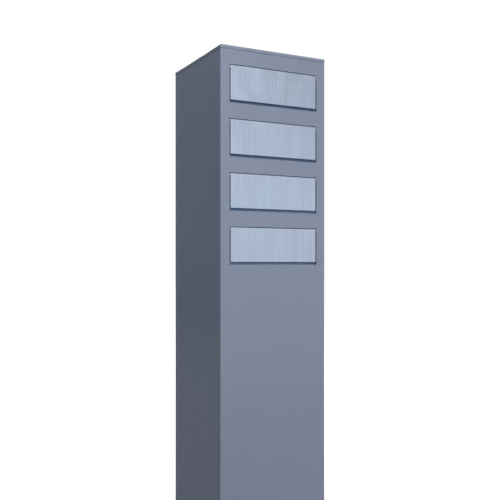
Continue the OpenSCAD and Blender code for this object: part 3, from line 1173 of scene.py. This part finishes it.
@dataclass
class InnerWorks:
    """The pieces whose CAD shape is right and only need softened edges."""

    shared: dict[str, tuple[Slot, float]] = field(default_factory=lambda: {
        "base_plate": (Slot.PAINT, 0.6 * MM),
        "hinge_post": (Slot.PAINT, 0.35 * MM),
        "strike_post": (Slot.PAINT, 0.35 * MM),
        "rear_header": (Slot.PAINT, 0.35 * MM),
        "ceiling_pan": (Slot.PAINT, 0.35 * MM),
        "lid_nuts": (Slot.ZINC, 0.35 * MM),
        "cover_standoffs": (Slot.ZINC, 0.4 * MM),
        "flap_hinge_rods": (Slot.FASTENER, 0.25 * MM),
        "flap_spacers": (Slot.NYLON, 0.25 * MM),
        "flap_bumpers": (Slot.RUBBER, 0.7 * MM),
        "door_bumpers": (Slot.RUBBER, 0.7 * MM),
        "door_hinge_pins": (Slot.FASTENER, 0.4 * MM),
    })
    per_box: dict[str, tuple[Slot, float]] = field(default_factory=lambda: {
        "compartment_floor": (Slot.GALVANISED, 0.35 * MM),
        "slot_insert": (Slot.RECESS_PAINT, 0.3 * MM),
        "letter_guard": (Slot.RECESS_PAINT, 0.3 * MM),
        "lock_nut": (Slot.ZINC, 0.35 * MM),
        "lock_cam": (Slot.ZINC, 0.3 * MM),
        "cam_screw": (Slot.ZINC, 0.25 * MM),
    })

    def build(self, finishes: Finishes) -> None:
        """Soften and dress each node."""
        wanted = dict(self.shared)
        for part, look in self.per_box.items():
            wanted |= {f"{part}_{n}": look for n in BOXES}
        for node, (slot, width) in wanted.items():
            piece = softened_node(node, width)
            finishes.dress(piece, slot)
            log.info("%s, %d faces", piece.name, len(piece.data.polygons))


# ---------------------------------------------------------------------- stage


@dataclass
class Studio:
    """Pale floor, soft lights and the camera."""

    focal_length: float = 52.0
    shift_up: float = 0.0266
    camera_place: Triple = (-1.181, -2.326, 0.9885)
    yaw: float = math.radians(-27.12)
    floor_size: float = 60.0
    floor_light: float = 0.04
    sky_light: float = 0.345
    cool: Colour = (0.77, 0.87, 1.0, 1.0)
    softbox: Triple = (0.86, 0.93, 1.0)
    lamps_aim: Triple = (0.0, 0.0, 1.1)

    def floor(self) -> None:
        """Lay a pale floor under the column, darker round its foot as a painted shadow.
        """
        deselect_all()
        bpy.ops.mesh.primitive_plane_add(size=self.floor_size)
        plane = settle("studio_floor")
        material, w, shader = blank_material("pale_floor")
        cloud = w.ramp(w.noise(w.coords(), 0.8, 2.0), 0.3, 0.7)
        w.feed(shader.inputs["Base Color"],
               w.mix(cloud, (0.16, 0.16, 0.165, 1.0), (0.18, 0.18, 0.18, 1.0)))
        shader.inputs["Roughness"].default_value = 0.9
        shader.inputs["Emission Color"].default_value = (1.0, 1.0, 1.0, 1.0)
        seen = w.add("LightPath").outputs["Is Camera Ray"]
        distance = w.add("VectorMath", {"operation": "LENGTH"},
                         _0=w.coords()).outputs["Value"]
        # Painted shadow: the floor seen by the camera glows less within 0.8 m of the
        # column's foot, a grey pool standing in for its contact shadow.
        glow_dimmed_as_painted_shadow = w.ramp(distance, 0.25, 0.8, 0.66, 0.96)
        w.feed(shader.inputs["Emission Strength"],
               w.math("ADD", self.floor_light, w.math("MULTIPLY", seen, glow_dimmed_as_painted_shadow)))
        plane.data.materials.append(material)

    def world(self) -> None:
        """Light the scene softly all round, against a white background."""
        world = bpy.data.worlds.new("studio")
        bpy.context.scene.world = world
        world.use_nodes = True
        w = Wiring(world.node_tree)
        sky = world.node_tree.nodes["Background"]
        seen = w.add("LightPath").outputs["Is Camera Ray"]
        w.feed(sky.inputs["Color"],
               w.mix(seen, self.cool, (1.0, 1.0, 1.0, 1.0)))
        w.feed(sky.inputs["Strength"], w.ramp(seen, 0.0, 1.0, self.sky_light, 1.0))

    def lamp(self, name: str, place: Triple, size: float, power: float,
             colour: Triple = (1.0, 1.0, 1.0)) -> None:
        """Add a square area light that points at the upper column.

        Args:
            name: Name of the light.
            place: Where it stands.
            size: Length of its side.
            power: Radiant power in watts.
            colour: Colour of its light.
        """
        light = bpy.data.lights.new(name, "AREA")
        light.shape = "SQUARE"
        light.size = size
        light.energy = power
        light.color = colour
        lamp = bpy.data.objects.new(name, light)
        lamp.location = place
        way = Vector(self.lamps_aim) - Vector(place)
        lamp.rotation_euler = way.to_track_quat("-Z", "Y").to_euler()
        bpy.context.scene.collection.objects.link(lamp)

    def camera(self) -> None:
        """Set the level camera to the left of the front's normal."""
        data = bpy.data.cameras.new("camera")
        data.lens = self.focal_length
        data.shift_y = self.shift_up
        camera = bpy.data.objects.new("camera", data)
        camera.location = self.camera_place
        camera.rotation_euler = (math.pi / 2, 0.0, self.yaw)
        bpy.context.scene.collection.objects.link(camera)
        bpy.context.scene.camera = camera

    def build(self) -> None:
        """Set the whole stage."""
        self.floor()
        self.world()
        self.lamp("key", (0.0, -17.0, 12.0), 6.0, 2540.0)
        self.lamp("front", (2.2, -4.0, 0.9), 3.0, 19.5, self.softbox)
        self.lamp("rear", (0.4, 6.5, 6.0), 3.0, 520.0)
        self.camera()
        view = bpy.context.scene.view_settings
        view.view_transform = "Standard"
        view.look = "None"


def main() -> None:
    """Build every sub-assembly, then the stage."""
    logging.basicConfig(level=logging.INFO, format="%(name)s: %(message)s")
    finishes = Finishes()
    for part in (ColumnShell(), FrontReturns(), Lid(), LetterFlap(), CollectionDoor(),
                 CamLock(), PedestalCover(), InnerWorks()):
        part.build(finishes)
    Studio().build()


if __name__ == "__main__":
    main()
